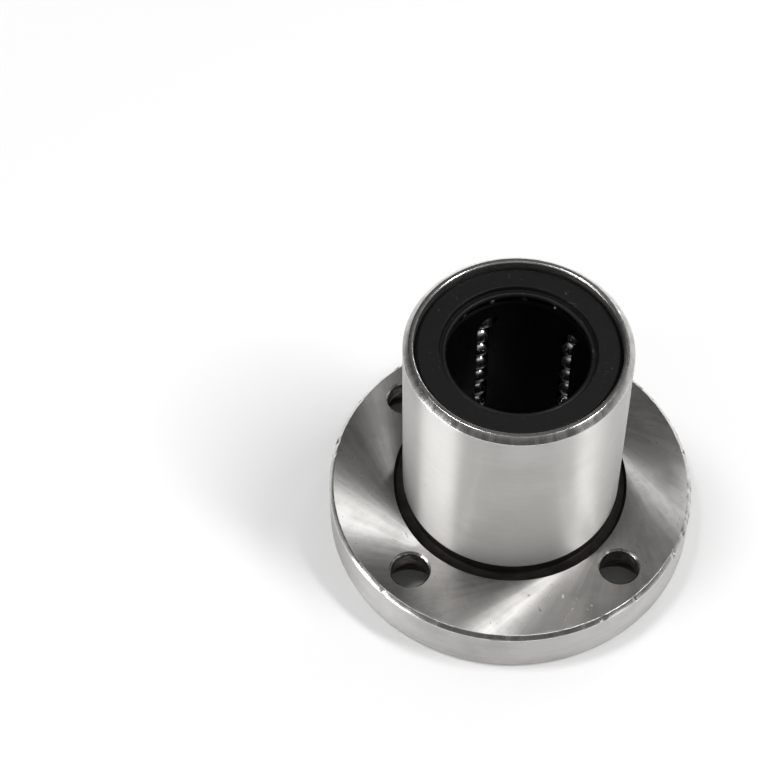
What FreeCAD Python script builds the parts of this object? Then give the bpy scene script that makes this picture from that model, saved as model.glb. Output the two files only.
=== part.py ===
"""Flanged linear ball bearing, standing on its round flange with the sleeve upright.

Frame: millimetres, +Z along the bore axis and away from the flange, origin on the
bore axis in the flange's front face, which is the face with the counterbores.
"""
import os
from math import floor

import FreeCAD, Part
import Sketcher

doc = FreeCAD.newDocument("flanged_linear_bearing")

# Driving dimensions, in millimetres unless the name says a count or an angle.
DRIVING = {
    # The shaft, the ball and how the balls follow each other.
    "shaft_diameter": 20,
    "ball_diameter": 3.175,
    "ball_spacing": 0.075,
    "return_lift": 1.11,
    "circuit_count": 5,
    "circuit_angle": 28,
    # Clearances around the balls and the fitted pieces.
    "race_clearance": 0.03,
    "channel_clearance": 0.075,
    "turn_clearance": 0.2,
    "retainer_clearance": 0.1,
    "retainer_relief": 0.3,
    "seat_clearance": 0.02,
    "end_play": 0.1,
    # The outer sleeve and its flange.
    "overall_length": 42,
    "sleeve_wall": 2.795,
    "end_chamfer": 0.85,
    "rim_chamfer": 0.15,
    "mouth_chamfer": 0.4,
    "flange_thickness": 8,
    "neck_wall": 1,
    "rim_wall": 1,
    "back_chamfer": 0.6,
    "front_chamfer": 0.5,
    "relief_depth": 0.3,
    "relief_height": 1.7,
    "relief_width": 1.35,
    "relief_sink": 0.5,
    "relief_slope": 0.35,
    # The four screw holes.
    "bolt_count": 4,
    "bolt_angle": 45,
    "bolt_hole": 5.5,
    "bolt_seat": 2.9,
    "counterbore_diameter": 9,
    "hole_chamfer": 0.3,
    # The retainer, the end rings and the seals.
    "end_wall": 1.5,
    "retainer_chamfer": 0.3,
    "seal_recess": 1,
    "seal_thickness": 1.5,
    "seal_bevel": 0.5,
    "groove_depth": 0.6,
    "groove_width": 0.45,
    "lip_width": 0.55,
    "lip_drop": 0.2,
    "lip_land": 0.5,
    "edge_break": 0.12,
    "ring_thickness": 1.2,
    "ring_relief": 0.4,
    "ring_bevel": 0.2,
}

sheet = doc.addObject("Spreadsheet::Sheet", "Sizes")
for row, (alias, number) in enumerate(DRIVING.items(), start=1):
    sheet.set(f"A{row}", alias)
    sheet.set(f"B{row}", str(number))
    sheet.setAlias(f"B{row}", alias)
doc.recompute()


def size(alias):
    """The expression that names one cell of the sheet."""
    return f"Sizes.{alias}"


def value(text):
    """The number that an expression stands for now."""
    return float(sheet.evalExpression(text))


# Radii and heights that follow from the driving dimensions, as expressions.
SHAFT_RADIUS = f"({size('shaft_diameter')} / 2)"
BALL_RADIUS = f"({size('ball_diameter')} / 2)"
PITCH = f"({size('ball_diameter')} + {size('ball_spacing')})"
LOAD_RADIUS = f"({SHAFT_RADIUS} + {BALL_RADIUS})"
RETURN_RADIUS = f"({LOAD_RADIUS} + {size('return_lift')})"
RACE_RADIUS = f"({LOAD_RADIUS} + {BALL_RADIUS} + {size('race_clearance')})"
CHANNEL_RADIUS = f"({BALL_RADIUS} + {size('channel_clearance')})"
END_BORE_RADIUS = f"({RETURN_RADIUS} + {BALL_RADIUS} + {size('turn_clearance')})"
SLEEVE_RADIUS = f"({RACE_RADIUS} + {size('sleeve_wall')})"
COUNTERBORE_RADIUS = f"({size('counterbore_diameter')} / 2)"
BOLT_RADIUS = f"({SLEEVE_RADIUS} + {size('neck_wall')} + {COUNTERBORE_RADIUS})"
FLANGE_RADIUS = f"({BOLT_RADIUS} + {COUNTERBORE_RADIUS} + {size('rim_wall')})"
RETAINER_RADIUS = f"({RACE_RADIUS} - {size('retainer_clearance')})"
RETAINER_BORE = f"({SHAFT_RADIUS} + {size('retainer_relief')})"
RING_RADIUS = f"({END_BORE_RADIUS} - {size('seat_clearance')})"

# One circuit lies in a flat plane, so a turn is half a circle between the two rows.
# A quarter of the turn then spans one pitch. In its own frame the plane stands across
# Y at PLANE_OFFSET, with the loaded row at LOAD_X and the return row at RETURN_X.
TURN_RADIUS = f"({PITCH} / sqrt(2))"
ROW_SUM = f"(({RETURN_RADIUS}^2 - {LOAD_RADIUS}^2) / (2 * {TURN_RADIUS}))"
LOAD_X = f"(({ROW_SUM}) / 2 - {TURN_RADIUS})"
RETURN_X = f"(({ROW_SUM}) / 2 + {TURN_RADIUS})"
TURN_X = f"(({ROW_SUM}) / 2)"
PLANE_OFFSET = f"sqrt({LOAD_RADIUS}^2 - {LOAD_X}^2)"
CIRCUIT_STEP = f"(360 / {size('circuit_count')})"

# Heights: seal, end ring and retainer stand one behind the other from each end.
END_STACK = (
    f"({size('seal_recess')} + {size('seal_thickness')}"
    f" + {size('ring_thickness')} + {size('end_play')})"
)
RETAINER_LENGTH = f"({size('overall_length')} - 2 * {END_STACK})"
TURN_ROOM = f"({TURN_RADIUS} + {CHANNEL_RADIUS} + {size('end_wall')})"
LOADED_COUNT = f"floor(({RETAINER_LENGTH} - 2 * {TURN_ROOM}) / {PITCH})"
STRAIGHT = f"({LOADED_COUNT} * {PITCH})"
MIDDLE = f"({size('overall_length')} / 2)"
RACE_LOW = f"({MIDDLE} - {STRAIGHT} / 2)"
RACE_HIGH = f"({MIDDLE} + {STRAIGHT} / 2)"
LEAD = f"({END_BORE_RADIUS} - {RACE_RADIUS})"


def origin_part(body, role):
    """A plane or an axis of the body's own origin."""
    return next(part for part in body.Origin.OriginFeatures if part.Role == role)


def add_sketch(body, name, plane, offset=None):
    """A sketch on one of the body's own planes, moved along its normal by offset."""
    sketch = body.newObject("Sketcher::SketchObject", name)
    sketch.AttachmentSupport = [(origin_part(body, plane), "")]
    sketch.MapMode = "FlatFace"
    if offset is not None:
        sketch.AttachmentOffset = FreeCAD.Placement(
            FreeCAD.Vector(0, 0, value(offset)), FreeCAD.Rotation()
        )
        sketch.setExpression("AttachmentOffset.Base.z", offset)
    return sketch


def hold(sketch, kind, index, point, text):
    """Keep one coordinate of a sketch point at an expression's value."""
    if abs(value(text)) < 1e-9:
        axis = -2 if kind == "DistanceX" else -1
        sketch.addConstraint(Sketcher.Constraint("PointOnObject", index, point, axis))
        return
    number = sketch.addConstraint(
        Sketcher.Constraint(kind, -1, 1, index, point, value(text))
    )
    sketch.setExpression(f"Constraints[{number}]", text)


def outline(sketch, corners):
    """A closed outline of straight lines through corners given as expressions."""
    points = [FreeCAD.Vector(value(x), value(y), 0) for x, y in corners]
    count = len(points)
    for index in range(count):
        line = Part.LineSegment(points[index], points[(index + 1) % count])
        sketch.addGeometry(line, False)
    for index in range(count):
        following = (index + 1) % count
        sketch.addConstraint(Sketcher.Constraint("Coincident", index, 2, following, 1))
    for index, (x, y) in enumerate(corners):
        hold(sketch, "DistanceX", index, 1, x)
        hold(sketch, "DistanceY", index, 1, y)


def circle(sketch, x, y, radius):
    """A circle whose centre and radius are expressions."""
    centre = FreeCAD.Vector(value(x), value(y), 0)
    shape = Part.Circle(centre, FreeCAD.Vector(0, 0, 1), value(radius))
    index = sketch.addGeometry(shape, False)
    hold(sketch, "DistanceX", index, 3, x)
    hold(sketch, "DistanceY", index, 3, y)
    number = sketch.addConstraint(Sketcher.Constraint("Radius", index, value(radius)))
    sketch.setExpression(f"Constraints[{number}]", radius)


def turned_body(name, corners):
    """A body turned about its Z axis from corners given as (radius, height)."""
    body = doc.addObject("PartDesign::Body", name)
    sketch = add_sketch(body, f"{name}_section", "XZ_Plane")
    outline(sketch, corners)
    turning = body.newObject("PartDesign::Revolution", f"{name}_turning")
    turning.Profile = sketch
    turning.ReferenceAxis = (sketch, ["V_Axis"])
    turning.Angle = 360
    doc.recompute()
    return body


def around(body, name, feature, count):
    """Repeat one cut evenly around the body's Z axis."""
    pattern = body.newObject("PartDesign::PolarPattern", name)
    pattern.Originals = [feature]
    pattern.Axis = (origin_part(body, "Z_Axis"), [""])
    pattern.Angle = 360
    pattern.setExpression("Occurrences", count)
    body.Tip = pattern
    doc.recompute()
    return pattern


def round_edges(feature, radius, height):
    """Names of the feature's full circular edges of one radius at one height."""
    found = []
    for number, edge in enumerate(feature.Shape.Edges, start=1):
        if not isinstance(edge.Curve, Part.Circle) or not edge.isClosed():
            continue
        same_size = abs(edge.Curve.Radius - radius) < 1e-4
        same_height = abs(edge.Curve.Center.z - height) < 1e-4
        if same_size and same_height:
            found.append(f"Edge{number}")
    return found


def break_edges(body, name, feature, names, width):
    """A small chamfer on the named edges."""
    chamfer = body.newObject("PartDesign::Chamfer", name)
    chamfer.Base = (feature, names)
    chamfer.setExpression("Size", width)
    body.Tip = chamfer
    doc.recompute()
    return chamfer


def make_outer_sleeve():
    """The hardened outer sleeve, turned in one piece with its flange."""
    length = size("overall_length")
    thickness = size("flange_thickness")
    end_wall = f"({SLEEVE_RADIUS} - {END_BORE_RADIUS})"
    rim_chamfer = size("rim_chamfer")
    end_chamfer = f"min({size('end_chamfer')}; {end_wall} - 2 * {rim_chamfer})"
    mouth = size("mouth_chamfer")
    front = f"min({size('front_chamfer')}; {size('rim_wall')} / 2)"
    back = size("back_chamfer")
    groove_radius = f"({SLEEVE_RADIUS} - {size('relief_depth')})"
    groove_floor = f"({thickness} - {size('relief_sink')})"
    groove_edge = f"({SLEEVE_RADIUS} + {size('relief_width')})"
    slope = size("relief_slope")
    ground_start = f"({thickness} + {size('relief_height')})"
    body = turned_body("outer_sleeve", [
        (END_BORE_RADIUS, mouth),
        (f"{END_BORE_RADIUS} + {mouth}", "0"),
        (f"{FLANGE_RADIUS} - {front}", "0"),
        (FLANGE_RADIUS, front),
        (FLANGE_RADIUS, f"{thickness} - {back}"),
        (f"{FLANGE_RADIUS} - {back}", thickness),
        (groove_edge, thickness),
        (f"{groove_edge} - {slope}", groove_floor),
        (groove_radius, groove_floor),
        (groove_radius, f"{ground_start} - {slope}"),
        (SLEEVE_RADIUS, ground_start),
        (SLEEVE_RADIUS, f"{length} - {end_chamfer}"),
        (f"{SLEEVE_RADIUS} - {end_chamfer}", length),
        (f"{END_BORE_RADIUS} + {rim_chamfer}", length),
        (END_BORE_RADIUS, f"{length} - {rim_chamfer}"),
        (END_BORE_RADIUS, f"{RACE_HIGH} + {LEAD}"),
        (RACE_RADIUS, RACE_HIGH),
        (RACE_RADIUS, RACE_LOW),
        (END_BORE_RADIUS, f"{RACE_LOW} - {LEAD}"),
    ])

    # Five channels for the returning balls, cut along the race from end to end.
    channel = add_sketch(body, "return_channel_circle", "XY_Plane")
    channel.AttachmentOffset = FreeCAD.Placement(
        FreeCAD.Vector(), FreeCAD.Rotation(FreeCAD.Vector(0, 0, 1), value("Sizes.circuit_angle"))
    )
    channel.setExpression("AttachmentOffset.Rotation.Angle", size("circuit_angle"))
    circle(channel, RETURN_X, PLANE_OFFSET, CHANNEL_RADIUS)
    before = body.Shape.Volume
    cut = body.newObject("PartDesign::Pocket", "return_channel")
    cut.Profile = channel
    cut.Reversed = True
    cut.Type = "Length"
    cut.setExpression("Length", length)
    doc.recompute()
    around(body, "return_channels", cut, size("circuit_count"))
    check_cut(body, before, "return channels")

    # Four screw holes, sunk from the front face for the screw heads.
    centre = add_sketch(body, "bolt_hole_centre", "XY_Plane")
    angle = size("bolt_angle")
    circle(
        centre,
        f"{BOLT_RADIUS} * cos({angle} * 1deg)",
        f"{BOLT_RADIUS} * sin({angle} * 1deg)",
        f"({size('bolt_hole')} / 2)",
    )
    doc.recompute()
    before = body.Shape.Volume
    hole = body.newObject("PartDesign::Hole", "bolt_hole")
    hole.Profile = centre
    hole.Reversed = True
    hole.Threaded = False
    hole.DepthType = "Dimension"
    hole.DrillPoint = "Flat"
    hole.setExpression("Depth", f"{thickness} + 1")
    hole.setExpression("Diameter", size("bolt_hole"))
    hole.HoleCutType = "Counterbore"
    hole.setExpression("HoleCutDiameter", size("counterbore_diameter"))
    hole.setExpression("HoleCutDepth", f"{thickness} - {size('bolt_seat')}")
    body.Tip = hole
    doc.recompute()
    holes = around(body, "bolt_holes", hole, size("bolt_count"))
    check_cut(body, before, "bolt holes")
    edges = round_edges(holes, value(COUNTERBORE_RADIUS), 0)
    edges += round_edges(holes, value(size("bolt_hole")) / 2, value(thickness))
    break_edges(body, "hole_edges", holes, edges, size("hole_chamfer"))
    return body


def make_ball_retainer():
    """The moulded retainer, with one closed channel for each ball circuit."""
    body = turned_body("ball_retainer", [
        (RETAINER_BORE, END_STACK),
        (RETAINER_RADIUS, END_STACK),
        (RETAINER_RADIUS, f"{END_STACK} + {RETAINER_LENGTH}"),
        (RETAINER_BORE, f"{END_STACK} + {RETAINER_LENGTH}"),
    ])
    turning = body.Tip
    edges = []
    for height in (value(END_STACK), value(f"{END_STACK} + {RETAINER_LENGTH}")):
        for radius in (value(RETAINER_BORE), value(RETAINER_RADIUS)):
            edges += round_edges(turning, radius, height)
    break_edges(body, "retainer_edges", turning, edges, size("retainer_chamfer"))

    path = add_sketch(body, "circuit_path", "XZ_Plane", f"-({PLANE_OFFSET})")
    low, high = value(RACE_LOW), value(RACE_HIGH)
    load_x, return_x, middle_x = value(LOAD_X), value(RETURN_X), value(TURN_X)
    points = [
        FreeCAD.Vector(load_x, low, 0),
        FreeCAD.Vector(load_x, high, 0),
        FreeCAD.Vector(middle_x, high + value(TURN_RADIUS), 0),
        FreeCAD.Vector(return_x, high, 0),
        FreeCAD.Vector(return_x, low, 0),
        FreeCAD.Vector(middle_x, low - value(TURN_RADIUS), 0),
    ]
    loaded = path.addGeometry(Part.LineSegment(points[0], points[1]), False)
    upper = path.addGeometry(Part.Arc(points[1], points[2], points[3]), False)
    returned = path.addGeometry(Part.LineSegment(points[3], points[4]), False)
    lower = path.addGeometry(Part.Arc(points[4], points[5], points[0]), False)
    # The upper arc runs from its end point to its start point, seen in the sketch.
    path.addConstraint(Sketcher.Constraint("Coincident", loaded, 2, upper, 2))
    path.addConstraint(Sketcher.Constraint("Coincident", upper, 1, returned, 1))
    path.addConstraint(Sketcher.Constraint("Coincident", returned, 2, lower, 2))
    path.addConstraint(Sketcher.Constraint("Coincident", lower, 1, loaded, 1))
    hold(path, "DistanceX", loaded, 1, LOAD_X)
    hold(path, "DistanceY", loaded, 1, RACE_LOW)
    hold(path, "DistanceX", loaded, 2, LOAD_X)
    hold(path, "DistanceY", loaded, 2, RACE_HIGH)
    hold(path, "DistanceX", returned, 1, RETURN_X)
    hold(path, "DistanceY", returned, 1, RACE_HIGH)
    hold(path, "DistanceX", returned, 2, RETURN_X)
    hold(path, "DistanceY", returned, 2, RACE_LOW)
    hold(path, "DistanceY", upper, 3, RACE_HIGH)
    hold(path, "DistanceY", lower, 3, RACE_LOW)

    section = add_sketch(body, "circuit_section", "XY_Plane", RACE_LOW)
    circle(section, LOAD_X, PLANE_OFFSET, CHANNEL_RADIUS)
    doc.recompute()
    before = body.Shape.Volume
    channel = body.newObject("PartDesign::SubtractivePipe", "circuit_channel")
    channel.Profile = section
    channel.Spine = (path, [f"Edge{number}" for number in range(1, 5)])
    body.Tip = channel
    doc.recompute()
    around(body, "circuit_channels", channel, size("circuit_count"))
    check_cut(body, before, "circuit channels")
    turn_about_axis(body, size("circuit_angle"))
    return body


def turn_about_axis(obj, angle):
    """Turn an object about the bore axis by an angle given as an expression."""
    rotation = FreeCAD.Rotation(FreeCAD.Vector(0, 0, 1), value(angle))
    obj.Placement = FreeCAD.Placement(FreeCAD.Vector(), rotation)
    obj.setExpression("Placement.Rotation.Angle", angle)


def face_an_end(body, upper, depth):
    """Set a piece, drawn with its outer face at zero, at a depth in one end."""
    if upper:
        text = f"{size('overall_length')} - {depth}"
        rotation = FreeCAD.Rotation()
    else:
        text = depth
        rotation = FreeCAD.Rotation(FreeCAD.Vector(1, 0, 0), 180)
    body.Placement = FreeCAD.Placement(FreeCAD.Vector(0, 0, value(text)), rotation)
    body.setExpression("Placement.Base.z", text)


def make_seal(name, upper):
    """A rubber end seal: a flat face, a groove and a thin lip on the shaft."""
    bevel = size("seal_bevel")
    soft = size("edge_break")
    lip_edge = f"({SHAFT_RADIUS} + {size('lip_width')})"
    face_edge = f"({lip_edge} + {size('groove_width')})"
    lip_top = f"-{size('lip_drop')}"
    groove_floor = f"-{size('groove_depth')}"
    back = f"-{size('seal_thickness')}"
    body = turned_body(name, [
        (SHAFT_RADIUS, groove_floor),
        (f"{lip_edge} - {soft}", lip_top),
        (lip_edge, f"{lip_top} - {soft}"),
        (lip_edge, groove_floor),
        (f"{face_edge} - {soft}", groove_floor),
        (face_edge, f"-{soft}"),
        (f"{face_edge} + {soft}", "0"),
        (f"{RING_RADIUS} - {bevel}", "0"),
        (RING_RADIUS, f"-{bevel}"),
        (RING_RADIUS, back),
        (f"{SHAFT_RADIUS} + {size('ring_relief')}", back),
        (SHAFT_RADIUS, f"{groove_floor} - {size('lip_land')}"),
    ])
    face_an_end(body, upper, size("seal_recess"))
    return body


def make_end_ring(name, upper):
    """A steel side ring, which closes the ball circuits and backs the seal."""
    bore = f"({SHAFT_RADIUS} + {size('ring_relief')})"
    bevel = size("ring_bevel")
    thickness = size("ring_thickness")
    body = turned_body(name, [
        (f"{bore} + {bevel}", "0"),
        (RING_RADIUS, "0"),
        (RING_RADIUS, f"-{thickness}"),
        (f"{bore} + {bevel}", f"-{thickness}"),
        (bore, f"{bevel} - {thickness}"),
        (bore, f"-{bevel}"),
    ])
    face_an_end(body, upper, f"({size('seal_recess')} + {size('seal_thickness')})")
    return body


def make_balls(name, number, places):
    """One group of balls of a circuit, each place given as (x, height)."""
    balls = []
    for index, (x, height) in enumerate(places, start=1):
        ball = doc.addObject("Part::Sphere", f"{name}_{index}")
        ball.setExpression("Radius", BALL_RADIUS)
        ball.Placement.Base = FreeCAD.Vector(value(x), value(PLANE_OFFSET), value(height))
        ball.setExpression("Placement.Base.x", x)
        ball.setExpression("Placement.Base.y", PLANE_OFFSET)
        ball.setExpression("Placement.Base.z", height)
        balls.append(ball)
    group = doc.addObject("Part::Compound", name)
    group.Links = balls
    turn_about_axis(group, f"{size('circuit_angle')} + {number} * {CIRCUIT_STEP}")
    return group


def make_circuit(number):
    """The balls of one circuit: two straight rows and a pair in each turn."""
    count = floor(value(LOADED_COUNT) + 0.5)
    heights = [f"{RACE_LOW} + {index + 0.5} * {PITCH}" for index in range(count)]
    reach = f"{TURN_RADIUS} * cos(45deg)"
    beside = [f"{TURN_X} - {reach}", f"{TURN_X} + {reach}"]
    label = number + 1
    return [
        make_balls(f"loaded_balls_{label}", number, [(LOAD_X, height) for height in heights]),
        make_balls(f"return_balls_{label}", number, [(RETURN_X, height) for height in heights]),
        make_balls(
            f"upper_turn_balls_{label}", number, [(x, f"{RACE_HIGH} + {reach}") for x in beside]
        ),
        make_balls(
            f"lower_turn_balls_{label}", number, [(x, f"{RACE_LOW} - {reach}") for x in beside]
        ),
    ]


def check_cut(body, before, what):
    """Stop if a cut took nothing away."""
    if body.Shape.Volume >= before - 1e-3:
        raise RuntimeError(f"{body.Name}: the {what} cut nothing")


pieces = [
    make_outer_sleeve(),
    make_ball_retainer(),
    make_end_ring("lower_end_ring", upper=False),
    make_end_ring("upper_end_ring", upper=True),
    make_seal("lower_seal", upper=False),
    make_seal("upper_seal", upper=True),
]
for circuit in range(floor(value(size("circuit_count")) + 0.5)):
    pieces += make_circuit(circuit)
doc.recompute()

for obj in doc.Objects:
    if "Invalid" in obj.State or "Error" in obj.State:
        raise RuntimeError(f"{obj.Name} failed: {obj.State}")
for piece in pieces:
    if piece.Shape.isNull() or not piece.Shape.isValid():
        raise RuntimeError(f"{piece.Name} has no valid shape")

os.makedirs("parts", exist_ok=True)
for piece in pieces:
    piece.Label = piece.Name
    piece.Shape.exportStep(f"parts/{piece.Label}.step")
    print(piece.Label, len(piece.Shape.Solids), round(piece.Shape.Volume, 3))
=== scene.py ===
"""A round-flanged linear ball bearing standing on its flange, seen in soft studio light."""
import math
import random

import bpy
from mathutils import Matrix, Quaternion, Vector


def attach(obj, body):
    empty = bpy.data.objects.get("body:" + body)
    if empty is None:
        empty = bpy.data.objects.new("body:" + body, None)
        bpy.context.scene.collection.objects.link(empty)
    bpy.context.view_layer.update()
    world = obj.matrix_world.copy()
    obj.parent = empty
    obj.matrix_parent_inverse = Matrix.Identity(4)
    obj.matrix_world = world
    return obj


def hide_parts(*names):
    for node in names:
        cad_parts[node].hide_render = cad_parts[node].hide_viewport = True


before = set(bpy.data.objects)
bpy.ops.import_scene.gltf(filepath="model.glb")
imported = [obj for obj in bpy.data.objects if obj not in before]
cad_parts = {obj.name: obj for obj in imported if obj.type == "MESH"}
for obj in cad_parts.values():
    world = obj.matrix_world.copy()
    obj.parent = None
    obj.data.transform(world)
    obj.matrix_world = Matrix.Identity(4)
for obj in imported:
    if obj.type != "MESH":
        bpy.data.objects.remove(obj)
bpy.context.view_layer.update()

MM = 0.001
FULL_TURN = 2 * math.pi
ONE_POINT = 0.001 * MM  # points nearer than this are one
SHORT_EDGE = 0.0005 * MM  # edges shorter than this go when a shape has been cut out

# The sleeve's section, from the mouth of the bore round to the front face: radius and height in mm.
SLEEVE_SECTION = [
    (14.885, 0.0), (14.485, 0.4), (14.485, 8.345), (13.205, 9.625), (13.205, 32.375), (14.485, 33.655),
    (14.485, 41.85), (14.635, 42.0), (15.15, 42.0), (16.0, 41.15), (16.0, 9.7), (15.7, 9.35),
    (15.7, 7.5), (17.0, 7.5), (17.35, 8.0), (26.4, 8.0), (27.0, 7.4), (27.0, 0.5), (26.5, 0.0),
]
SLEEVE_STEPS = 480
SLEEVE_ROUNDING = 0.07
# The chamfers of the flange's rim: the least radius, and the lowest and highest point.
BACK_CHAMFER = (26.36, 7.36, 7.99)
FRONT_CHAMFER = (26.56, 0.01, 0.44)
KNOCKS = 46
KNOCK_DEPTH = 0.3
KNOCK_REACH = (0.006, 0.024)  # from a dent's middle to its end, in radians
NECK_RADIUS = 16.4
# A screw hole's section, from its axis below the front face to its axis above the back face.
HOLE_SECTION = [
    (0.0, -0.6), (5.4, -0.6), (4.5, 0.3), (4.5, 5.1), (2.75, 5.1), (2.75, 7.7), (3.65, 8.6), (0.0, 8.6),
]
HOLE_STEPS = 96
FINE_ROUNDING = 0.05
SCREW_CIRCLE = 21.5
HOLES = 4
FIRST_HOLE = 45.0
# A return channel in the race: radius, and its place and reach in its own circuit's frame.
CHANNEL_RADIUS = 1.6625
CHANNEL_PLACE = (5.2306, 11.5701)
CHANNEL_ENDS = (8.6, 33.4)
CHANNEL_STEPS = 64
CIRCUITS = 5
FIRST_CIRCUIT = 28.0
# The seal's section, from the lip at the shaft out to its rim: radius and depth below its face.
SEAL_SECTION = [
    (10.0, -0.95), (10.16, -0.74), (10.42, -0.66), (10.62, -0.78), (10.86, -0.78), (10.94, -0.12),
    (11.06, 0.0), (13.85, 0.0), (14.465, -0.62), (14.465, -1.5), (10.4, -1.5), (10.0, -1.2),
]
SEAL_STEPS = 288
UPPER_SEAL_FACE = 41.0
LOWER_SEAL_FACE = 1.0
# Where the sleeve's finishes meet, in mm.
FRONT_FACE, BACK_FACE, TOP_FACE = 0.0, 8.0, 42.0
HOLE_REACH = 4.9
INNER_WALL = 14.9
TOP_CHAMFER = 41.1
GROOVE_LOW, GROOVE_HIGH, GROOVE_OUTSIDE = 7.3, 9.72, 17.37
FLANGE_INSIDE = 16.3
RIM_LOW, RIM_HIGH = 0.55, 7.35
HAIR = 0.02


def pick_nothing():
    """Leave edit mode and let go of everything."""
    if bpy.context.object and bpy.context.object.mode == "EDIT":
        bpy.ops.object.mode_set(mode="OBJECT")
    bpy.ops.object.select_all(action="DESELECT")


def pick(*pieces):
    """Select these pieces alone, the first of them active."""
    pick_nothing()
    for piece in pieces:
        piece.select_set(True)
    bpy.context.view_layer.objects.active = pieces[0]


def settle(*pieces):
    """Put each piece's place into its mesh, so that its own object stands at the origin."""
    pick(*pieces)
    bpy.ops.object.transform_apply(location=True, rotation=True, scale=True)


def turned(name, section, rounding, steps, closed=True):
    """Turn a piece from its section: draw it point by point, round its corners and spin it."""
    pick_nothing()
    start = section[0]
    bpy.ops.mesh.primitive_plane_add(size=MM, location=(start[0] * MM, 0, start[1] * MM))
    piece = bpy.context.object
    piece.name = name
    settle(piece)
    bpy.ops.object.mode_set(mode="EDIT")
    bpy.ops.mesh.select_all(action="SELECT")
    bpy.ops.mesh.merge(type="CENTER")
    here = start
    for there in section[1:] + ([start] if closed else []):
        step = ((there[0] - here[0]) * MM, 0, (there[1] - here[1]) * MM)
        bpy.ops.mesh.extrude_region_move(TRANSFORM_OT_translate={"value": step})
        here = there
    bpy.ops.mesh.select_all(action="SELECT")
    bpy.ops.mesh.remove_doubles(threshold=ONE_POINT)
    bpy.ops.mesh.bevel(offset=rounding * MM, segments=3, affect="VERTICES", clamp_overlap=True)
    bpy.ops.mesh.select_all(action="SELECT")
    bpy.ops.mesh.spin(steps=steps, angle=FULL_TURN, center=(0, 0, 0), axis=(0, 0, 1))
    bpy.ops.mesh.select_all(action="SELECT")
    bpy.ops.mesh.remove_doubles(threshold=ONE_POINT)
    bpy.ops.mesh.normals_make_consistent(inside=False)
    bpy.ops.object.mode_set(mode="OBJECT")
    return piece


def around(cutter, count, first, place):
    """Copy a cutter round the bearing's axis, and join the copies into one."""
    pick(cutter)
    cutters = [cutter]
    for _ in range(count - 1):
        bpy.ops.object.duplicate()
        cutters.append(bpy.context.object)
    for k, one in enumerate(cutters):
        angle = math.radians(first) + FULL_TURN * k / count
        one.location = (
            (place[0] * math.cos(angle) - place[1] * math.sin(angle)) * MM,
            (place[0] * math.sin(angle) + place[1] * math.cos(angle)) * MM,
            one.location.z,
        )
    settle(*cutters)
    bpy.ops.object.join()
    return cutters[0]


def cut(piece, cutter):
    """Take the cutter's shape out of a piece, and clear away the tiny edges that this leaves."""
    pick(piece)
    tool = piece.modifiers.new("cut", "BOOLEAN")
    tool.operation = "DIFFERENCE"
    tool.solver = "EXACT"
    tool.object = cutter
    bpy.ops.object.modifier_apply(modifier=tool.name)
    bpy.data.objects.remove(cutter)
    bpy.ops.object.mode_set(mode="EDIT")
    bpy.ops.mesh.select_all(action="SELECT")
    bpy.ops.mesh.dissolve_degenerate(threshold=SHORT_EDGE)
    bpy.ops.object.mode_set(mode="OBJECT")


def on_chamfer(point):
    """Whether a point of the sleeve lies on a chamfer of the flange's rim."""
    radius, height = math.hypot(point.x, point.y) / MM, point.z / MM
    return any(radius > least and low < height < high for least, low, high in (BACK_CHAMFER, FRONT_CHAMFER))


def knock_rim(piece):
    """Small dents along the flange's chamfers, where the bearing has been knocked in handling."""
    chance = random.Random(5)
    knocks = [(chance.uniform(0, FULL_TURN), chance.uniform(*KNOCK_REACH), chance.random() ** 2)
              for _ in range(KNOCKS)]
    dents = piece.vertex_groups.new(name="dents")
    for vertex in piece.data.vertices:
        if not on_chamfer(vertex.co):
            continue
        angle = math.atan2(vertex.co.y, vertex.co.x) % FULL_TURN
        deep = 0.0
        for middle, reach, depth in knocks:
            off = abs((angle - middle + math.pi) % FULL_TURN - math.pi) / reach
            deep = max(deep, depth * (1 - off * off)) if off < 1 else deep
        if deep:
            dents.add([vertex.index], deep, "REPLACE")
    pick(piece)
    dent = piece.modifiers.new("dents", "DISPLACE")
    dent.vertex_group = dents.name
    dent.mid_level = 0
    dent.strength = -KNOCK_DEPTH * MM
    bpy.ops.object.modifier_apply(modifier=dent.name)
    piece.vertex_groups.clear()


def smooth(piece, angle):
    """Shade the curves smooth and keep the flats flat."""
    pick(piece)
    bpy.ops.object.shade_smooth_by_angle(angle=math.radians(angle))
    level = piece.modifiers.new("flats", "WEIGHTED_NORMAL")
    level.keep_sharp = True
    level.weight = 100
    bpy.ops.object.modifier_apply(modifier=level.name)


def build_sleeve():
    """The hardened sleeve and its flange, turned from one piece, with four counterbored holes."""
    sleeve = turned("sleeve_and_flange", SLEEVE_SECTION, SLEEVE_ROUNDING, SLEEVE_STEPS)
    drill = turned("drill", HOLE_SECTION, FINE_ROUNDING, HOLE_STEPS, closed=False)
    cut(sleeve, around(drill, HOLES, FIRST_HOLE, (SCREW_CIRCLE, 0.0)))
    low, high = CHANNEL_ENDS
    pick_nothing()
    bpy.ops.mesh.primitive_cylinder_add(
        vertices=CHANNEL_STEPS, radius=CHANNEL_RADIUS * MM, depth=(high - low) * MM,
        location=(0, 0, (low + high) / 2 * MM),
    )
    cut(sleeve, around(bpy.context.object, CIRCUITS, FIRST_CIRCUIT, CHANNEL_PLACE))
    knock_rim(sleeve)
    smooth(sleeve, 35)
    return sleeve


def build_seal(name, face, up):
    """A rubber end seal, its face turned up or down."""
    section = [(radius, face + depth * up) for radius, depth in SEAL_SECTION]
    seal = turned(name, section, FINE_ROUNDING, SEAL_STEPS)
    smooth(seal, 40)
    return seal


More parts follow.
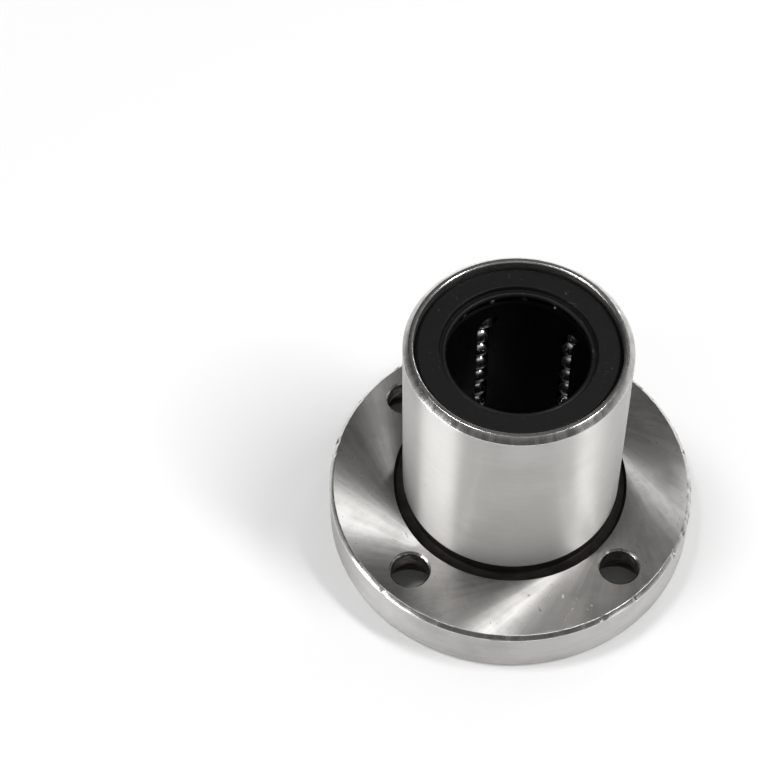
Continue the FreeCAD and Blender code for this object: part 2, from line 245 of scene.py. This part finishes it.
class Nodes:
    """Places and joins the nodes of one material, group or world."""

    def __init__(self, tree):
        self.tree = tree

    def new(self, kind, **settings):
        node = self.tree.nodes.new(kind)
        for name, value in settings.items():
            setattr(node, name, value)
        return node

    def feed(self, socket, value):
        if isinstance(value, bpy.types.NodeSocket):
            self.tree.links.new(value, socket)
        elif value is not None:
            socket.default_value = value

    def fill(self, node, *values):
        for socket, value in zip(node.inputs, values):
            self.feed(socket, value)
        return node

    def math(self, operation, *values):
        return self.fill(self.new("ShaderNodeMath", operation=operation), *values).outputs[0]

    def vector(self, operation, *values):
        node = self.fill(self.new("ShaderNodeVectorMath", operation=operation), *values)
        return node.outputs["Value" if operation in ("LENGTH", "DOT_PRODUCT") else "Vector"]

    def ramp(self, value, low, high, start=0.0, end=1.0):
        """start where value is low, end where it is high, and smooth between them."""
        node = self.new("ShaderNodeMapRange", interpolation_type="SMOOTHSTEP")
        return self.fill(node, value, low, high, start, end).outputs[0]

    def mix(self, share, a, b):
        node = self.new("ShaderNodeMix", data_type="FLOAT")
        return self.fill(node, share, None, a, b).outputs[0]

    def blend(self, share, a, b):
        """A colour between a and b."""
        node = self.new("ShaderNodeMix", data_type="RGBA")
        for name, value in (("Factor_Float", share), ("A_Color", a), ("B_Color", b)):
            self.feed(next(s for s in node.inputs if s.identifier == name), value)
        return next(s for s in node.outputs if s.identifier == "Result_Color")

    def split(self, vector):
        return self.fill(self.new("ShaderNodeSeparateXYZ"), vector).outputs

    def join(self, x, y, z):
        return self.fill(self.new("ShaderNodeCombineXYZ"), x, y, z).outputs[0]

    def off_axis(self, x, y):
        """How far a point lies from the bearing's axis."""
        return self.math("SQRT", self.math("ADD", self.math("MULTIPLY", x, x), self.math("MULTIPLY", y, y)))

    def place(self, turn=None):
        """A point's place on the piece, turned if the pattern needs it."""
        place = self.new("ShaderNodeTexCoord").outputs["Object"]
        if turn is None:
            return place
        mapping = self.new("ShaderNodeMapping")
        mapping.inputs["Rotation"].default_value = turn
        self.feed(mapping.inputs["Vector"], place)
        return mapping.outputs[0]

    def noise(self, vector, scale, detail=2.0, rough=0.5):
        node = self.new("ShaderNodeTexNoise")
        for name, value in (("Vector", vector), ("Scale", scale), ("Detail", detail), ("Roughness", rough)):
            self.feed(node.inputs[name], value)
        return node.outputs[0]

    def use(self, group, **values):
        """A shared effect with its own values; gives back its outputs."""
        node = self.new("ShaderNodeGroup", node_tree=group)
        for name, value in values.items():
            self.feed(node.inputs[name.replace("_", " ").capitalize()], value)
        return node.outputs


def effect(name, inputs, outputs):
    """An empty shared effect: its nodes, its inputs and its output sockets."""
    tree = bpy.data.node_groups.new(name, "ShaderNodeTree")
    for label, kind, value in inputs:
        socket = tree.interface.new_socket(label, in_out="INPUT", socket_type=kind)
        if value is not None:
            socket.default_value = value
    for label in outputs:
        tree.interface.new_socket(label, in_out="OUTPUT", socket_type="NodeSocketFloat")
    n = Nodes(tree)
    return n, n.new("NodeGroupInput").outputs, n.new("NodeGroupOutput").inputs


POINT, NUMBER = "NodeSocketVector", "NodeSocketFloat"


def lay_marks(n, path, streaks, marks, tone):
    """Fine marks that run along x and y of the path and follow each other across z."""
    n.feed(marks, n.noise(path, 1.0, 4.0, 0.62))
    n.feed(tone, n.noise(n.vector("MULTIPLY", path, streaks), 1.0, 3.0, 0.6))


def round_marks():
    """Marks of turning or grinding that run round the bearing's axis."""
    n, given, out = effect(
        "round_tool_marks",
        [("Place", POINT, None), ("Spacing", NUMBER, 0.1), ("Runs", NUMBER, 5.0)], ["Marks", "Streaks"],
    )
    x, y, z = n.split(given["Place"])[:3]
    radius = n.off_axis(x, y)
    across = n.math("DIVIDE", n.math("ADD", radius, z), n.math("MULTIPLY", given["Spacing"], MM))
    path = n.join(
        n.math("MULTIPLY", n.math("DIVIDE", x, radius), given["Runs"]),
        n.math("MULTIPLY", n.math("DIVIDE", y, radius), given["Runs"]),
        across,
    )
    lay_marks(n, path, (0.6, 0.6, 0.17), out["Marks"], out["Streaks"])
    return n.tree


def swirl_heading(n, x, y, neck):
    """The heading of the swirl mark through a point, and how far along it from the neck the point lies."""
    radius = n.off_axis(x, y)
    turn = n.math("ARCCOSINE", n.math("MINIMUM", n.math("DIVIDE", neck, radius), 1.0))
    return n.math("ADD", n.math("ARCTAN2", y, x), turn), n.math("MULTIPLY", n.math("SINE", turn), radius)


def swirl_marks():
    """Marks of a grinding wheel that leave the neck of the sleeve at a tangent and cross the flange."""
    n, given, out = effect(
        "swirl_tool_marks",
        [("Place", POINT, None), ("Spacing", NUMBER, 0.1), ("Neck", NUMBER, NECK_RADIUS)],
        ["Marks", "Streaks"],
    )
    x, y, _ = n.split(given["Place"])[:3]
    heading, along = swirl_heading(n, x, y, n.math("MULTIPLY", given["Neck"], MM))
    turns = n.math("DIVIDE", given["Neck"], given["Spacing"])
    path = n.join(
        n.math("MULTIPLY", n.math("COSINE", heading), turns),
        n.math("MULTIPLY", n.math("SINE", heading), turns),
        n.math("MULTIPLY", along, 120.0),
    )
    lay_marks(n, path, (0.13, 0.13, 0.7), out["Marks"], out["Streaks"])
    return n.tree


def straight_marks():
    """Marks of a surface grinder, straight and parallel along x."""
    n, given, out = effect(
        "straight_tool_marks", [("Place", POINT, None), ("Spacing", NUMBER, 0.1)], ["Marks", "Streaks"],
    )
    x, y, _ = n.split(given["Place"])[:3]
    path = n.join(
        n.math("MULTIPLY", x, 160.0), 0.0,
        n.math("DIVIDE", y, n.math("MULTIPLY", given["Spacing"], MM)),
    )
    lay_marks(n, path, (0.5, 0.5, 0.14), out["Marks"], out["Streaks"])
    return n.tree


def stray_scratches():
    """Thin stray scratches in a few directions, thicker in some patches than in others."""
    n, given, out = effect(
        "stray_scratches", [("Place", POINT, None), ("Amount", NUMBER, 0.5)], ["Scratches"],
    )
    total = None
    for turn, length, width in ((0.4, 150.0, 5200.0), (1.5, 210.0, 6400.0), (2.5, 120.0, 4300.0)):
        mapping = n.new("ShaderNodeMapping")
        mapping.inputs["Rotation"].default_value = (turn * 0.3, turn * 0.7, turn)
        n.feed(mapping.inputs["Vector"], given["Place"])
        path = n.vector("MULTIPLY", mapping.outputs[0], (length, width, width * 0.35))
        line = n.ramp(n.noise(path, 1.0, 1.0), 0.72, 0.78)
        total = line if total is None else n.math("MAXIMUM", total, line)
    patch = n.ramp(n.noise(given["Place"], 260.0, 2.0), n.math("SUBTRACT", 0.72, given["Amount"]), 0.75)
    n.feed(out["Scratches"], n.math("MULTIPLY", total, patch))
    return n.tree


def small_pits():
    """Tiny pits, specks and grains of dust."""
    n, given, out = effect(
        "pits_and_specks",
        [("Place", POINT, None), ("Cell", NUMBER, 1.0), ("Size", NUMBER, 0.1), ("Amount", NUMBER, 0.3)],
        ["Pits"],
    )
    cells = n.new("ShaderNodeTexVoronoi")
    n.feed(cells.inputs["Vector"], given["Place"])
    n.feed(cells.inputs["Scale"], n.math("DIVIDE", 1 / MM, given["Cell"]))
    chosen = n.math("LESS_THAN", n.split(cells.outputs["Color"])[0], given["Amount"])
    middle = n.math("MULTIPLY", given["Size"], 0.5)
    spot = n.ramp(cells.outputs["Distance"], middle, given["Size"], 1.0, 0.0)
    n.feed(out["Pits"], n.math("MULTIPLY", spot, chosen))
    return n.tree


def hand_marks():
    """Soft uneven patches that handling and an oil film leave."""
    n, given, out = effect("handling_film", [("Place", POINT, None), ("Size", NUMBER, 6.0)], ["Film"])
    scale = n.math("DIVIDE", 1 / MM, given["Size"])
    n.feed(out["Film"], n.ramp(n.noise(given["Place"], scale, 4.0, 0.6), 0.32, 0.68))
    return n.tree


ROUND, SWIRL, STRAIGHT = round_marks(), swirl_marks(), straight_marks()
SCRATCHES, PITS, FILM = stray_scratches(), small_pits(), hand_marks()
FRONT_LAY = math.radians(24)  # the direction of the front face's grinding marks
SWAY = 0.1  # how much the swirl marks waver, in radians


def finish(name):
    """A new material: its nodes and its shader."""
    material = bpy.data.materials.new(name)
    material.use_nodes = True
    return material, Nodes(material.node_tree), material.node_tree.nodes["Principled BSDF"]


def bump(n, shader, height):
    """Give the surface its relief; the height is in thousandths of a millimetre."""
    relief = n.new("ShaderNodeBump")
    relief.inputs["Distance"].default_value = 0.001 * MM
    n.feed(relief.inputs["Height"], height)
    n.feed(shader.inputs["Normal"], relief.outputs[0])


def round_lay(n, shader):
    """Spread the light across marks that run round the axis."""
    tangent = n.new("ShaderNodeTangent", direction_type="RADIAL", axis="Z")
    shader.inputs["Anisotropic Rotation"].default_value = 0.25
    n.feed(shader.inputs["Tangent"], tangent.outputs[0])


def swirl_lay(n, shader):
    """Spread the light across the grinding marks that cross the flange."""
    x, y, _ = n.split(n.place())[:3]
    heading, _ = swirl_heading(n, x, y, NECK_RADIUS * MM)
    marks = n.use(SWIRL, place=n.place(), spacing=0.3)["Marks"]
    heading = n.math("ADD", heading, n.math("MULTIPLY", n.math("SUBTRACT", marks, 0.5), SWAY))
    n.feed(shader.inputs["Tangent"], n.join(n.math("COSINE", heading), n.math("SINE", heading), 0.0))


def straight_lay(n, shader):
    """Spread the light across the straight grinding marks of the front face."""
    n.feed(shader.inputs["Tangent"], n.join(-math.sin(FRONT_LAY), math.cos(FRONT_LAY), 0.0))


STEEL = (0.56, 0.55, 0.535)
STEEL_DULL = (0.46, 0.45, 0.44)
# Wear: the size of the film's patches in mm, how scratched and pitted the steel is, and its pits' shade.
LIGHT_WEAR = {"film": 9.0, "scratches": 0.3, "scratch_depth": 1.2, "pit_cell": 2.2, "pit_size": 0.035,
              "pit_depth": 1.6, "pit_dark": 0.35}
FACE_WEAR = dict(LIGHT_WEAR, scratches=0.42, scratch_depth=2.2)
EDGE_WEAR = dict(LIGHT_WEAR, film=1.4, scratches=0.6, scratch_depth=4.0, pit_cell=0.6, pit_size=0.16,
                 pit_depth=6.0, pit_dark=0.7)


def marked_steel(name, group, lay, roughness, anisotropy, relief, wear,
                 tones=(STEEL, STEEL_DULL), turn=None, **values):
    """Bare steel with the marks of the tool that made it, a film of handling and stray wear."""
    material, n, shader = finish(name)
    place = n.place()
    marks = n.use(group, place=n.place(turn) if turn else place, **values)
    film = n.use(FILM, place=place, size=wear["film"])["Film"]
    scratches = n.use(SCRATCHES, place=place, amount=wear["scratches"])["Scratches"]
    pits = n.use(PITS, place=place, cell=wear["pit_cell"], size=wear["pit_size"], amount=0.35)["Pits"]
    share = n.math("ADD", n.math("MULTIPLY", marks["Streaks"], 0.65), n.math("MULTIPLY", film, 0.35))
    tone, dull = tones
    colour = n.blend(n.ramp(share, 0.3, 0.7), (*dull, 1), (*tone, 1))
    colour = n.blend(n.math("MULTIPLY", pits, wear["pit_dark"]), colour, (0.05, 0.045, 0.04, 1))
    n.feed(shader.inputs["Base Color"], colour)
    shader.inputs["Metallic"].default_value = 1
    rough = n.mix(n.ramp(marks["Marks"], 0.3, 0.7), *roughness)
    rough = n.math("ADD", rough, n.math("MULTIPLY", film, -0.04))
    n.feed(shader.inputs["Roughness"], n.math("ADD", rough, n.math("MULTIPLY", scratches, -0.12)))
    shader.inputs["Anisotropic"].default_value = anisotropy
    if lay:
        lay(n, shader)
    height = n.math("MULTIPLY", marks["Marks"], relief)
    height = n.math("SUBTRACT", height, n.math("MULTIPLY", scratches, wear["scratch_depth"]))
    bump(n, shader, n.math("SUBTRACT", height, n.math("MULTIPLY", pits, wear["pit_depth"])))
    return material


def from_hole(n):
    """A point's place measured from the axis of the nearest screw hole."""
    x, y, z = n.split(n.place())[:3]
    middle = SCREW_CIRCLE * math.cos(math.radians(FIRST_HOLE)) * MM
    return [n.math("SUBTRACT", n.math("ABSOLUTE", x), middle),
            n.math("SUBTRACT", n.math("ABSOLUTE", y), middle), z]


def hole_steel():
    """The steel of the screw holes, painted dark as the shade inside them, with the rings that the drill
    and counterbore left.
    """
    material, n, shader = finish("bored_hole_steel_painted_shade")
    marks = n.use(ROUND, place=n.join(*from_hole(n)), spacing=0.16, runs=2.0)
    film = n.use(FILM, place=n.place(), size=2.0)["Film"]
    share = n.math("MULTIPLY", n.ramp(marks["Streaks"], 0.35, 0.65), n.mix(film, 0.4, 1.0))
    # Both colours are steel painted dark as the shade inside the holes; the drill's rings and the film
    # choose between them.
    n.feed(shader.inputs["Base Color"], n.blend(share, (0.05, 0.043, 0.036, 1), (0.24, 0.22, 0.2, 1)))
    shader.inputs["Metallic"].default_value = 1
    n.feed(shader.inputs["Roughness"], n.mix(n.ramp(marks["Marks"], 0.3, 0.7), 0.24, 0.42))
    bump(n, shader, n.math("MULTIPLY", marks["Marks"], 14.0))
    return material


def black_groove_steel():
    """The relief groove, nearly black and dull, with faint marks that run round it."""
    material, n, shader = finish("black_groove_steel")
    marks = n.use(ROUND, place=n.place(), spacing=0.14, runs=6.0)
    film = n.use(FILM, place=n.place(), size=3.0)["Film"]
    share = n.math("MULTIPLY", marks["Streaks"], film)
    n.feed(shader.inputs["Base Color"], n.blend(share, (0.006, 0.0055, 0.005, 1), (0.05, 0.043, 0.036, 1)))
    n.feed(shader.inputs["Metallic"], n.mix(film, 0.35, 0.8))
    n.feed(shader.inputs["Roughness"], n.mix(marks["Marks"], 0.34, 0.6))
    shader.inputs["Specular IOR Level"].default_value = 0.2
    bump(n, shader, n.math("MULTIPLY", marks["Marks"], 9.0))
    return material


def seal_rubber():
    """Black moulded rubber with a satin skin, a fine grain and a few specks of dust."""
    material, n, shader = finish("black_seal_rubber")
    place = n.place()
    film = n.use(FILM, place=place, size=3.5)["Film"]
    grain = n.noise(place, 9000.0, 3.0, 0.6)
    specks = n.use(PITS, place=place, cell=0.9, size=0.075, amount=0.14)["Pits"]
    scuffs = n.use(SCRATCHES, place=place, amount=0.42)["Scratches"]
    colour = n.blend(film, (0.002, 0.002, 0.0023, 1), (0.0042, 0.0042, 0.0046, 1))
    colour = n.blend(n.math("MULTIPLY", scuffs, 0.5), colour, (0.08, 0.08, 0.08, 1))
    n.feed(shader.inputs["Base Color"], n.blend(specks, colour, (0.20, 0.19, 0.18, 1)))
    rough = n.mix(film, 0.5, 0.4)
    n.feed(shader.inputs["Roughness"], n.math("ADD", rough, n.math("MULTIPLY", grain, 0.08)))
    shader.inputs["Specular IOR Level"].default_value = 0.2
    height = n.math("ADD", n.math("MULTIPLY", grain, 2.4), n.math("MULTIPLY", specks, 9.0))
    bump(n, shader, n.math("SUBTRACT", height, n.math("MULTIPLY", scuffs, 3.0)))
    return material


def retainer_resin():
    """Black moulded resin, oiled, with a faint flow pattern."""
    material, n, shader = finish("black_retainer_resin")
    place = n.place()
    flow = n.noise(n.vector("MULTIPLY", place, (400.0, 400.0, 130.0)), 1.0, 4.0, 0.55)
    film = n.use(FILM, place=place, size=4.0)["Film"]
    n.feed(shader.inputs["Base Color"], n.blend(flow, (0.001, 0.001, 0.0012, 1), (0.003, 0.003, 0.0034, 1)))
    n.feed(shader.inputs["Roughness"], n.mix(film, 0.46, 0.3))
    shader.inputs["Specular IOR Level"].default_value = 0.08
    bump(n, shader, n.math("MULTIPLY", flow, 10.0))
    return material


def ball_steel():
    """Polished bearing balls with a trace of oil."""
    material, n, shader = finish("polished_ball_steel")
    place = n.place()
    film = n.use(FILM, place=place, size=1.2)["Film"]
    scratches = n.use(SCRATCHES, place=place, amount=0.25)["Scratches"]
    n.feed(shader.inputs["Base Color"], n.blend(film, (0.70, 0.69, 0.68, 1), (0.80, 0.79, 0.78, 1)))
    shader.inputs["Metallic"].default_value = 1
    rough = n.mix(film, 0.2, 0.27)
    n.feed(shader.inputs["Roughness"], n.math("ADD", rough, n.math("MULTIPLY", scratches, 0.1)))
    bump(n, shader, n.math("MULTIPLY", scratches, -0.25))
    return material


# The sleeve's finishes, in the order of its material slots.
SLEEVE_FINISHES = {
    "outside": marked_steel("ground_sleeve_steel", ROUND, round_lay, (0.38, 0.42), 0.985, 0.15, LIGHT_WEAR,
                            tones=((0.49, 0.48, 0.465), (0.455, 0.445, 0.43)), spacing=0.12, runs=2.0),
    "back": marked_steel("swirl_ground_flange_steel", SWIRL, swirl_lay, (0.31, 0.37), 0.965, 0.32,
                         FACE_WEAR, tones=((0.5, 0.49, 0.475), (0.35, 0.345, 0.335)), spacing=0.16),
    "front": marked_steel("straight_ground_flange_steel", STRAIGHT, straight_lay, (0.44, 0.52), 0.9, 1.6,
                          FACE_WEAR, turn=(0, 0, -FRONT_LAY), spacing=0.16),
    "rim": marked_steel("turned_rim_steel", ROUND, round_lay, (0.42, 0.5), 0.8, 0.8, LIGHT_WEAR,
                        tones=((0.43, 0.42, 0.41), (0.37, 0.36, 0.35)), spacing=0.25, runs=4.0),
    "edge": marked_steel("knocked_edge_steel", ROUND, round_lay, (0.2, 0.3), 0.3, 1.2, EDGE_WEAR,
                         spacing=0.12, runs=14.0),
    "hole": hole_steel(),
    "bore": marked_steel("ground_race_steel", ROUND, round_lay, (0.28, 0.36), 0.6, 0.6, LIGHT_WEAR,
                         spacing=0.15, runs=3.0),
    "groove": black_groove_steel(),
}
RING_STEEL = marked_steel("pressed_ring_steel", ROUND, round_lay, (0.1, 0.16), 0.2, 0.4, LIGHT_WEAR,
                          spacing=0.2, runs=6.0)


def hole_axes():
    """The places of the screw holes' axes, in mm."""
    for k in range(HOLES):
        angle = math.radians(FIRST_HOLE) + FULL_TURN * k / HOLES
        yield SCREW_CIRCLE * math.cos(angle), SCREW_CIRCLE * math.sin(angle)


def sleeve_finish(centre):
    """Which finish a face of the sleeve has, from its place."""
    x, y, height = (c / MM for c in centre)
    radius = math.hypot(x, y)
    off_hole = min(math.hypot(x - hx, y - hy) for hx, hy in hole_axes())
    if off_hole < HOLE_REACH and FRONT_FACE + 0.001 < height < BACK_FACE - 0.001:
        return "hole" if FRONT_FACE + 0.4 < height < BACK_FACE - 0.4 else "edge"
    if radius < INNER_WALL and height < TOP_FACE - 0.2:
        return "bore"
    if height > TOP_CHAMFER:
        return "edge"
    if GROOVE_LOW < height < GROOVE_HIGH and radius < GROOVE_OUTSIDE:
        return "groove"
    if height > BACK_FACE - HAIR:
        return "back" if radius > FLANGE_INSIDE else "outside"
    if height < FRONT_FACE + HAIR:
        return "front"
    return "rim" if RIM_LOW < height < RIM_HIGH else "edge"


def paint(piece, *materials):
    """Give a piece these materials in place of what it has."""
    piece.data.materials.clear()
    for material in materials:
        piece.data.materials.append(material)


sleeve = build_sleeve()
paint(sleeve, *SLEEVE_FINISHES.values())
order = list(SLEEVE_FINISHES)
for face in sleeve.data.polygons:
    face.material_index = order.index(sleeve_finish(face.center))
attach(sleeve, "housing")
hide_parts("outer_sleeve")

RUBBER, RESIN, BALL = seal_rubber(), retainer_resin(), ball_steel()
for where, face, up in (("upper", UPPER_SEAL_FACE, 1), ("lower", LOWER_SEAL_FACE, -1)):
    seal = build_seal(f"{where}_end_seal", face, up)
    paint(seal, RUBBER)
    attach(seal, "housing")
    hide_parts(f"{where}_seal")

for name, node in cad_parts.items():
    if "balls" in name:
        paint(node, BALL)
    elif "ring" in name:
        paint(node, RING_STEEL)
    else:
        paint(node, RESIN)


PAPER, FIBRES = (0.95, 0.95, 0.95, 1), (0.94, 0.94, 0.94, 1)
SEEN_PAPER = (0.72, 0.72, 0.72, 1)  # to the camera, dull enough to keep the bearing's shadow
WHITE_FROM, WHITE_BY = 0.07, 0.2  # the paper runs into white between these, in metres from the bearing
# The room, as strengths: its light, and how bright each part of it looks where steel mirrors it.
AMBIENT = 0.52
ZENITH, LOW_FRONT = 0.62, 0.1
BACK_LEFT, BACK_RIGHT = 0.04, 0.18
DARK_CORNER = 0.2
# Under the bearing, in mm: how far the flange and each counterbore reach, and how near the front face is.
UNDER_FLANGE, UNDER_HOLE, UNDER_REACH = 26.4, 4.85, 1.7
LAMP_DISTANCE = 0.6
LAMP_AIM = 20.0  # the height that the lamps are turned to, in mm


def pale_floor():
    """White paper that keeps the bearing's shadow and runs into a white distance."""
    pick_nothing()
    bpy.ops.mesh.primitive_plane_add(size=6, location=(0, 0, -0.03 * MM))
    floor = bpy.context.object
    floor.name = "pale_floor"
    material, n, shader = finish("pale_paper")
    fibres = n.noise(n.place(), 2600.0, 3.0)
    path = n.new("ShaderNodeLightPath").outputs
    colour = n.blend(fibres, FIBRES, PAPER)
    n.feed(shader.inputs["Base Color"], n.blend(path["Is Camera Ray"], colour, SEEN_PAPER))
    shader.inputs["Roughness"].default_value = 0.9
    shader.inputs["Specular IOR Level"].default_value = 0.1
    seen = n.math("MAXIMUM", path["Is Camera Ray"],
                  n.math("MAXIMUM", path["Is Glossy Ray"], path["Is Transmission Ray"]))
    here = n.vector("LENGTH", n.place())
    far = n.ramp(here, WHITE_FROM, WHITE_BY)
    white = n.new("ShaderNodeEmission")
    paper = n.fill(n.new("ShaderNodeMixShader"), n.math("MULTIPLY", far, seen), shader.outputs[0],
                   white.outputs[0])
    # From below the paper can be seen through, and it lets light reach the front face that rests on it.
    beside = n.vector("LENGTH", n.join(*from_hole(n)[:2], 0.0))
    under = n.math("MULTIPLY", n.math("LESS_THAN", here, UNDER_FLANGE * MM),
                   n.math("GREATER_THAN", beside, UNDER_HOLE * MM))
    near = n.math("MULTIPLY", under, n.math("LESS_THAN", path["Ray Length"], UNDER_REACH * MM))
    near = n.math("MULTIPLY", near, n.math("SUBTRACT", 1.0, path["Is Camera Ray"]))
    side = n.math("MAXIMUM", near, n.new("ShaderNodeNewGeometry").outputs["Backfacing"])
    clear = n.new("ShaderNodeBsdfTransparent")
    sheet = n.fill(n.new("ShaderNodeMixShader"), side, paper.outputs[0], clear.outputs[0])
    n.feed(material.node_tree.nodes["Material Output"].inputs["Surface"], sheet.outputs[0])
    paint(floor, material)


def studio():
    """A white room whose ceiling is dim where steel mirrors it, and dimmest at the back."""
    world = bpy.data.worlds.new("studio")
    bpy.context.scene.world = world
    world.use_nodes = True
    n = Nodes(world.node_tree)
    background = world.node_tree.nodes["Background"]
    background.inputs["Color"].default_value = (1, 1, 1, 1)
    path = n.new("ShaderNodeLightPath").outputs
    across, along, up = n.split(n.new("ShaderNodeTexCoord").outputs["Generated"])[:3]
    front = n.ramp(up, 0.55, 0.85, LOW_FRONT, ZENITH)
    back = n.ramp(across, -0.3, 0.3, BACK_LEFT, BACK_RIGHT)
    ceiling = n.mix(n.ramp(along, -0.5, -0.02), front, back)
    corner = n.math("MULTIPLY", n.ramp(along, 0.1, 0.45), n.ramp(across, -0.1, -0.45))
    horizon = n.mix(corner, 1.0, DARK_CORNER)
    mirrored = n.mix(n.ramp(up, 0.02, 0.3), horizon, ceiling)
    lit = n.mix(path["Is Glossy Ray"], AMBIENT, mirrored)
    clear = n.math("MAXIMUM", path["Is Camera Ray"], path["Is Transmission Ray"])
    n.feed(background.inputs["Strength"], n.mix(clear, lit, 1.0))


def softbox(name, azimuth, elevation, width, height, glow, turn=0):
    """A soft lamp out of view, turned to the bearing; glow is how bright its front looks."""
    a, e = math.radians(azimuth), math.radians(elevation)
    toward = Vector((math.sin(a) * math.cos(e), -math.cos(a) * math.cos(e), math.sin(e)))
    lamp = bpy.data.lights.new(name, "AREA")
    lamp.shape = "RECTANGLE"
    lamp.size, lamp.size_y = width, height
    lamp.energy = glow * math.pi * width * height
    box = bpy.data.objects.new(name, lamp)
    bpy.context.scene.collection.objects.link(box)
    box.location = toward * LAMP_DISTANCE + Vector((0, 0, LAMP_AIM * MM))
    box.rotation_mode = "QUATERNION"
    box.rotation_quaternion = toward.to_track_quat("Z", "Y") @ Quaternion((0, 0, 1), math.radians(turn))
    box.visible_camera = False


pale_floor()
studio()
softbox("left_softbox", -96, 71, 0.1, 0.14, 33.0)
softbox("left_wall", -67, 6, 0.38, 0.12, 12.5)
softbox("right_softbox", 78, 56.5, 0.07, 0.3, 32.0, -40)
softbox("right_wall", 53, 8, 0.09, 0.14, 2.2)
softbox("back_strip", 150, 36.7, 0.03, 0.14, 20.0, -17)

# The camera: its place in mm, its tilt down and roll, and its lens on a sensor 36 mm wide.
CAMERA_PLACE = (-18.57, -183.92, 293.65)
TILT, ROLL = math.radians(54.764), math.radians(-0.88)
LENS, SENSOR = 106.645, 36
camera = bpy.data.objects.new("camera", bpy.data.cameras.new("camera"))
bpy.context.scene.collection.objects.link(camera)
bpy.context.scene.camera = camera
camera.data.sensor_width = SENSOR
camera.data.lens = LENS
camera.data.clip_start = 0.01
camera.data.clip_end = 20
camera.location = Vector(CAMERA_PLACE) * MM
camera.rotation_mode = "QUATERNION"
aim = Vector((0, math.cos(TILT), -math.sin(TILT)))
camera.rotation_quaternion = aim.to_track_quat("-Z", "Y") @ Quaternion((0, 0, 1), ROLL)

bpy.context.scene.view_settings.view_transform = "Standard"
